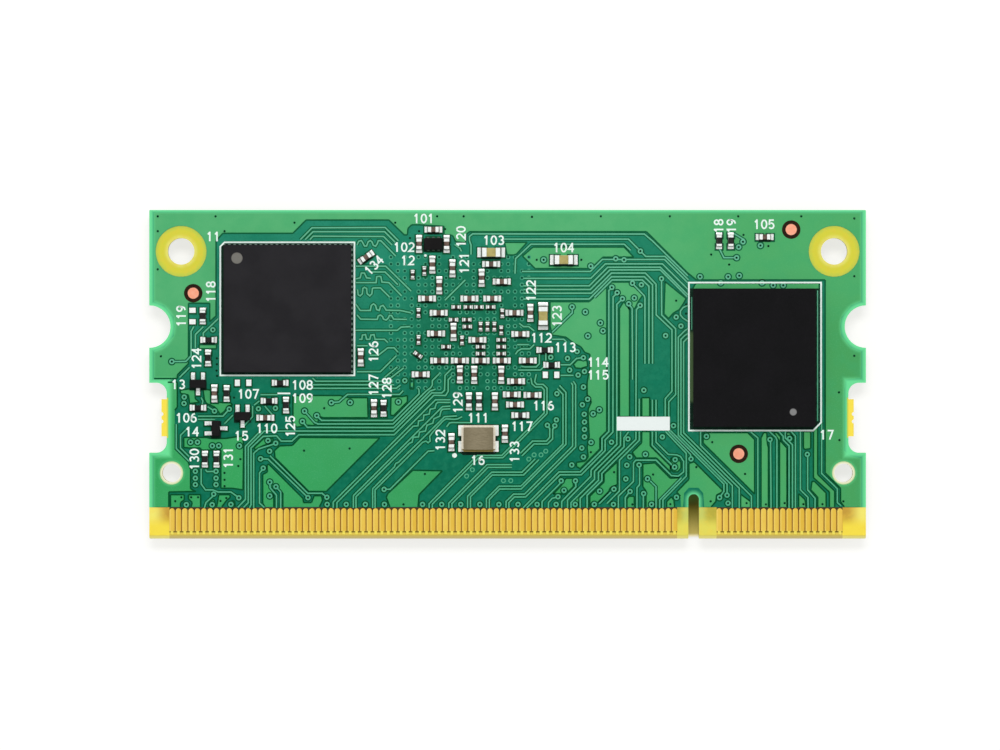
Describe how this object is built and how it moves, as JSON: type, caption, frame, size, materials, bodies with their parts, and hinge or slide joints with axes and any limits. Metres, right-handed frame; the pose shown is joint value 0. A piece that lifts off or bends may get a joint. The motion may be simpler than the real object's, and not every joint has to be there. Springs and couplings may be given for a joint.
{
  "type": "system on module",
  "caption": "Small computer board with a keyed gold edge connector, a lidded processor, memory and flash packages and rows of chip parts, for plugging into a carrier board socket.",
  "frame": {"origin": "centre of the board in plan, in the plane of the processor lid's flat face that the module rests on", "axes": "+X along the contact edge, +Y from the contact edge to the long edge opposite, +Z out of the face with the memory and flash packages"},
  "size_m": [0.0676, 0.031, 0.0034],
  "materials": {
    "laminate": "bare yellow glass-epoxy laminate, slightly glossy",
    "solder_mask": "glossy green solder mask",
    "gold_plate": "bright gold plate",
    "bare_copper": "bare copper with a clear organic finish",
    "solder": "bright reflowed solder",
    "package_substrate": "dark package substrate",
    "package_mould": "black mould compound with a fine matte grain",
    "silicon": "ground silicon",
    "thermal_paste": "pale thermal compound",
    "nickel_lid": "satin nickel plate",
    "cream_ceramic": "cream fired ceramic",
    "crystal_metal": "warm grey rolled metal",
    "tinned_metal": "bright tin plate",
    "capacitor_ceramic": "brown fired ceramic",
    "tan_ceramic": "tan fired ceramic",
    "ferrite": "dark grey ferrite",
    "white_ceramic": "white alumina",
    "black_coat": "black glass coat",
    "inductor_core": "grey pressed iron powder",
    "legend_ink": "white screen-printed ink"
  },
  "bodies": {
    "root": {"board": "laminate", "upper_solder_mask": "solder_mask", "lower_solder_mask": "solder_mask", "upper_contacts": "gold_plate", "lower_contacts": "gold_plate", "fiducial_marks": "bare_copper", "upper_lands": "solder", "lower_lands": "solder", "memory_balls": "solder", "memory_substrate": "package_substrate", "memory_mould": "package_mould", "flash_balls": "solder", "flash_substrate": "package_substrate", "flash_mould": "package_mould", "processor_balls": "solder", "processor_substrate": "package_substrate", "processor_die": "silicon", "processor_paste": "thermal_paste", "processor_lid": "nickel_lid", "crystal_base": "cream_ceramic", "crystal_lid": "crystal_metal", "load_switch": "package_mould", "transistor_moulds": "package_mould", "transistor_leads": "tinned_metal", "small_capacitor_bodies": "capacitor_ceramic", "small_capacitor_ends": "tinned_metal", "tiny_capacitor_bodies": "capacitor_ceramic", "tiny_capacitor_ends": "tinned_metal", "bulk_capacitor_bodies": "tan_ceramic", "bulk_capacitor_ends": "tinned_metal", "bead_bodies": "ferrite", "bead_ends": "tinned_metal", "resistor_bodies": "white_ceramic", "resistor_coats": "black_coat", "resistor_ends": "tinned_metal", "inductor_cores": "inductor_core", "inductor_plates": "tinned_metal", "converter_moulds": "package_mould", "upper_solder_fillets": "solder", "lower_solder_fillets": "solder"}
  },
  "joints": []
}
